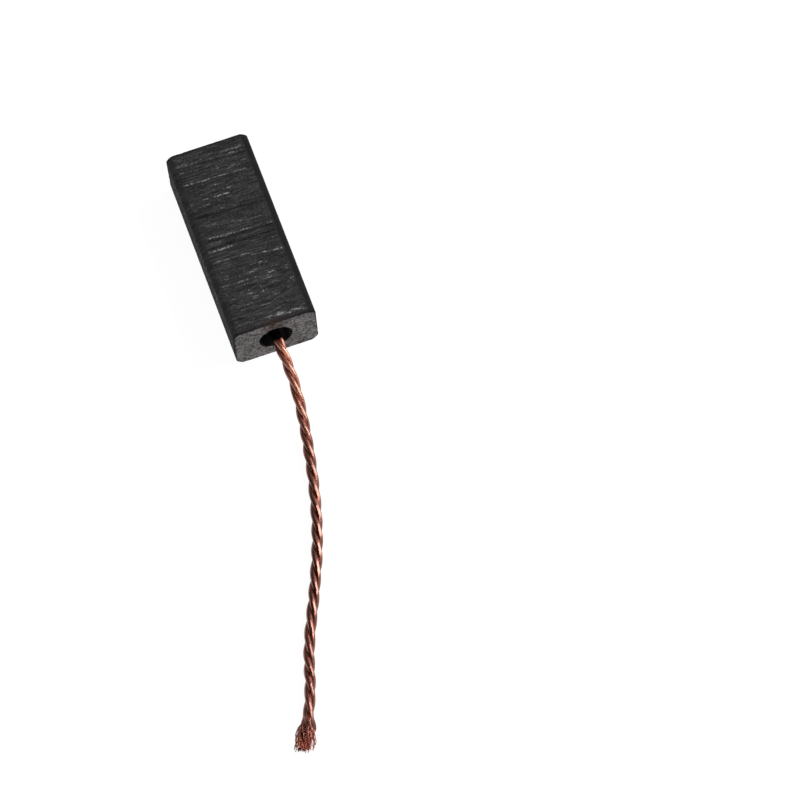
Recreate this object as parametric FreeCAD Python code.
# Carbon brush of a small motor: a pressed carbon bar that slides in its holder, and the bare stranded
# copper lead that is tamped into the end away from the commutator.
#
# Millimetres. The origin is under the middle of the bar, which lies on its wide side. +Z is up, and +Y
# runs towards the contact end. The lead leaves the other end along -Y and comes down to the ground.
import FreeCAD, Part
import math
import os

from FreeCAD import Vector

# Carbon bar
BAR_WIDTH = 7.0
BAR_HEIGHT = 5.0
BAR_LENGTH = 17.5
LONG_EDGE_RADIUS = 0.6  # pressed round on the four long edges
CUT_EDGE_BREAK = 0.1  # rubbed off round the two cut ends

# Socket, drilled blind into the lead end on the bar's axis
SOCKET_DIAMETER = 2.8
SOCKET_DEPTH = 6.5  # from the mouth to where the drill's cone starts
DRILL_POINT_ANGLE = 118.0
MOUTH_BREAK = 0.12  # crumbled off round the mouth

# Metal powder, tamped into the bottom of the socket round the lead
PLUG_LENGTH = 4.0  # along the socket's straight wall
PLUG_DISH_DEPTH = 0.25  # hollow ring that the tubular tamping tool leaves in the powder's face

# Lead
LEAD_DIAMETER = 0.95  # round the outside of its three strands
LEAD_END_COVER = 0.5  # powder between the lead's inner end and the drill's cone
SAG_START_DEPTH = 0.35  # how far inside the mouth the straight lead starts to sag
GROUND_CLEARANCE = 0.01  # under the stretch that lies on the ground

# The rest of the lead's route, from the mouth to the free end. Each point is the distance to the side,
# the distance out from the mouth, and the share of the socket's height over the ground that is left.
LEAD_ROUTE = [
    (0.2, 3.95, 0.63),
    (-0.35, 8.15, 0.16),
    (-1.2, 12.55, 0.0),
    (-2.45, 17.15, 0.0),
    (-4.25, 21.45, 0.0),
    (-6.25, 25.75, 0.0),
    (-7.4, 29.95, 0.0),
    (-9.3, 33.65, 0.0),
]

# An arc of the route takes this share of the shorter of its two runs, on each side of its corner
ARC_SHARE = 0.45

# Places that follow from the sizes
MOUTH_Y = -BAR_LENGTH / 2
SOCKET_Z = BAR_HEIGHT / 2
SOCKET_RADIUS = SOCKET_DIAMETER / 2
CONE_LENGTH = SOCKET_RADIUS / math.tan(math.radians(DRILL_POINT_ANGLE / 2))
PLUG_FACE_DEPTH = SOCKET_DEPTH - PLUG_LENGTH
LEAD_RADIUS = LEAD_DIAMETER / 2
LEAD_GROUND_Z = LEAD_RADIUS + GROUND_CLEARANCE


def bar_section(y):
    """The bar's cross-section at y: a rectangle with round corners, standing on the ground."""
    half = BAR_WIDTH / 2
    r = LONG_EDGE_RADIUS
    bow = r * (1 - math.cos(math.radians(45)))
    left, right, bottom, top = -half, half, 0.0, BAR_HEIGHT
    lines = [
        ((left + r, bottom), (right - r, bottom)),
        ((right, bottom + r), (right, top - r)),
        ((right - r, top), (left + r, top)),
        ((left, top - r), (left, bottom + r)),
    ]
    bows = [
        (right - bow, bottom + bow),
        (right - bow, top - bow),
        (left + bow, top - bow),
        (left + bow, bottom + bow),
    ]
    edges = []
    for i, (start, end) in enumerate(lines):
        following = lines[(i + 1) % len(lines)][0]
        corners = [Vector(x, y, z) for x, z in (start, end, bows[i], following)]
        edges.append(Part.LineSegment(corners[0], corners[1]).toShape())
        edges.append(Part.Arc(corners[1], corners[2], corners[3]).toShape())
    return Part.Wire(edges)


def turned_in_socket(edges):
    """Turns a closed profile round the socket's axis. It is drawn at that axis's height."""
    profile = Part.Face(Part.Wire(edges))
    return profile.revolve(Vector(0, 0, SOCKET_Z), Vector(0, 1, 0), 360)


def in_socket(radius, depth):
    """A point beside the socket's axis, at a depth measured inwards from its mouth."""
    return Vector(radius, MOUTH_Y + depth, SOCKET_Z)


def lines_through(points):
    """Straight edges from each point to the next."""
    return [Part.LineSegment(a, b).toShape() for a, b in zip(points, points[1:])]


def brush_block():
    """The pressed bar with its broken cut edges and its drilled socket."""
    section = Part.Face(bar_section(MOUTH_Y))
    bar = section.extrude(Vector(0, BAR_LENGTH, 0))
    cut_edges = [e for e in bar.Edges if e.BoundBox.YLength < 1e-6]
    bar = bar.makeChamfer(CUT_EDGE_BREAK, cut_edges)
    outside = -1.0  # where the drill's shape starts, out from the mouth
    mouth_radius = SOCKET_RADIUS + MOUTH_BREAK
    drill = turned_in_socket(
        lines_through(
            [
                in_socket(0, outside),
                in_socket(mouth_radius, outside),
                in_socket(mouth_radius, 0),
                in_socket(SOCKET_RADIUS, MOUTH_BREAK),
                in_socket(SOCKET_RADIUS, SOCKET_DEPTH),
                in_socket(0, SOCKET_DEPTH + CONE_LENGTH),
                in_socket(0, outside),
            ]
        )
    )
    return bar.cut(drill)


def tamped_plug(lead):
    """The powder, which fills the cone and the wall up to its dished face and closes round the lead."""
    ring_middle = (SOCKET_RADIUS + LEAD_RADIUS) / 2
    dish = Part.Arc(
        in_socket(LEAD_RADIUS, PLUG_FACE_DEPTH),
        in_socket(ring_middle, PLUG_FACE_DEPTH + PLUG_DISH_DEPTH),
        in_socket(SOCKET_RADIUS, PLUG_FACE_DEPTH),
    )
    around = lines_through(
        [
            in_socket(SOCKET_RADIUS, PLUG_FACE_DEPTH),
            in_socket(SOCKET_RADIUS, SOCKET_DEPTH),
            in_socket(0, SOCKET_DEPTH + CONE_LENGTH),
            in_socket(0, PLUG_FACE_DEPTH),
            in_socket(LEAD_RADIUS, PLUG_FACE_DEPTH),
        ]
    )
    return turned_in_socket([dish.toShape()] + around).cut(lead)


def lead_points():
    """The corners of the lead's route: straight out of the powder, then down and along the ground."""
    points = [
        in_socket(0, SOCKET_DEPTH - LEAD_END_COVER),
        in_socket(0, SAG_START_DEPTH),
    ]
    for side, out, height_share in LEAD_ROUTE:
        z = LEAD_GROUND_Z + height_share * (SOCKET_Z - LEAD_GROUND_Z)
        points.append(Vector(side, MOUTH_Y - out, z))
    return points


def rounded_path(points):
    """Straight runs joined by tangent arcs, with the arcs' radii."""
    edges = []
    radii = []
    start = points[0]
    for before, corner, after in zip(points, points[1:], points[2:]):
        run_in = corner - before
        run_out = after - corner
        way_in = run_in * (1 / run_in.Length)
        way_out = run_out * (1 / run_out.Length)
        half_turn = way_in.getAngle(way_out) / 2
        reach = ARC_SHARE * min(run_in.Length, run_out.Length)
        radius = reach / math.tan(half_turn)
        inwards = way_out - way_in
        arc_start = corner - way_in * reach
        arc_end = corner + way_out * reach
        arc_depth = radius * (1 / math.cos(half_turn) - 1)
        arc_middle = corner + inwards * (arc_depth / inwards.Length)
        edges.append(Part.LineSegment(start, arc_start).toShape())
        edges.append(Part.Arc(arc_start, arc_middle, arc_end).toShape())
        radii.append(radius)
        start = arc_end
    edges.append(Part.LineSegment(start, points[-1]).toShape())
    return Part.Wire(edges), radii


def shunt_lead():
    """The lead as a plain round tube of its outer diameter along its route."""
    points = lead_points()
    path, radii = rounded_path(points)
    section = Part.Circle(points[0], points[1] - points[0], LEAD_RADIUS)
    lead = path.makePipeShell([Part.Wire(section.toShape())], True, True)
    section_times_length = math.pi * LEAD_RADIUS**2 * path.Length
    outside = path.Length - (SOCKET_DEPTH - LEAD_END_COVER)
    print("lead length", round(path.Length, 2), "outside the socket", round(outside, 2))
    print("lead radii", [round(r, 1) for r in radii])
    print("least radius in lead diameters", round(min(radii) / LEAD_DIAMETER, 1))
    print("lead volume", round(lead.Volume, 4), "section x length", round(section_times_length, 4))
    print("lead lowest point", round(lead.optimalBoundingBox(False).ZMin, 4))
    return lead


def main():
    os.makedirs("parts", exist_ok=True)
    lead = shunt_lead()
    pieces = {
        "brush_block": brush_block(),
        "tamped_plug": tamped_plug(lead),
        "shunt_lead": lead,
    }
    for name, shape in pieces.items():
        print(name, len(shape.Solids), "solid, valid", shape.isValid(), "volume", round(shape.Volume, 3))
        shape.exportStep(os.path.join("parts", name + ".step"))


main()
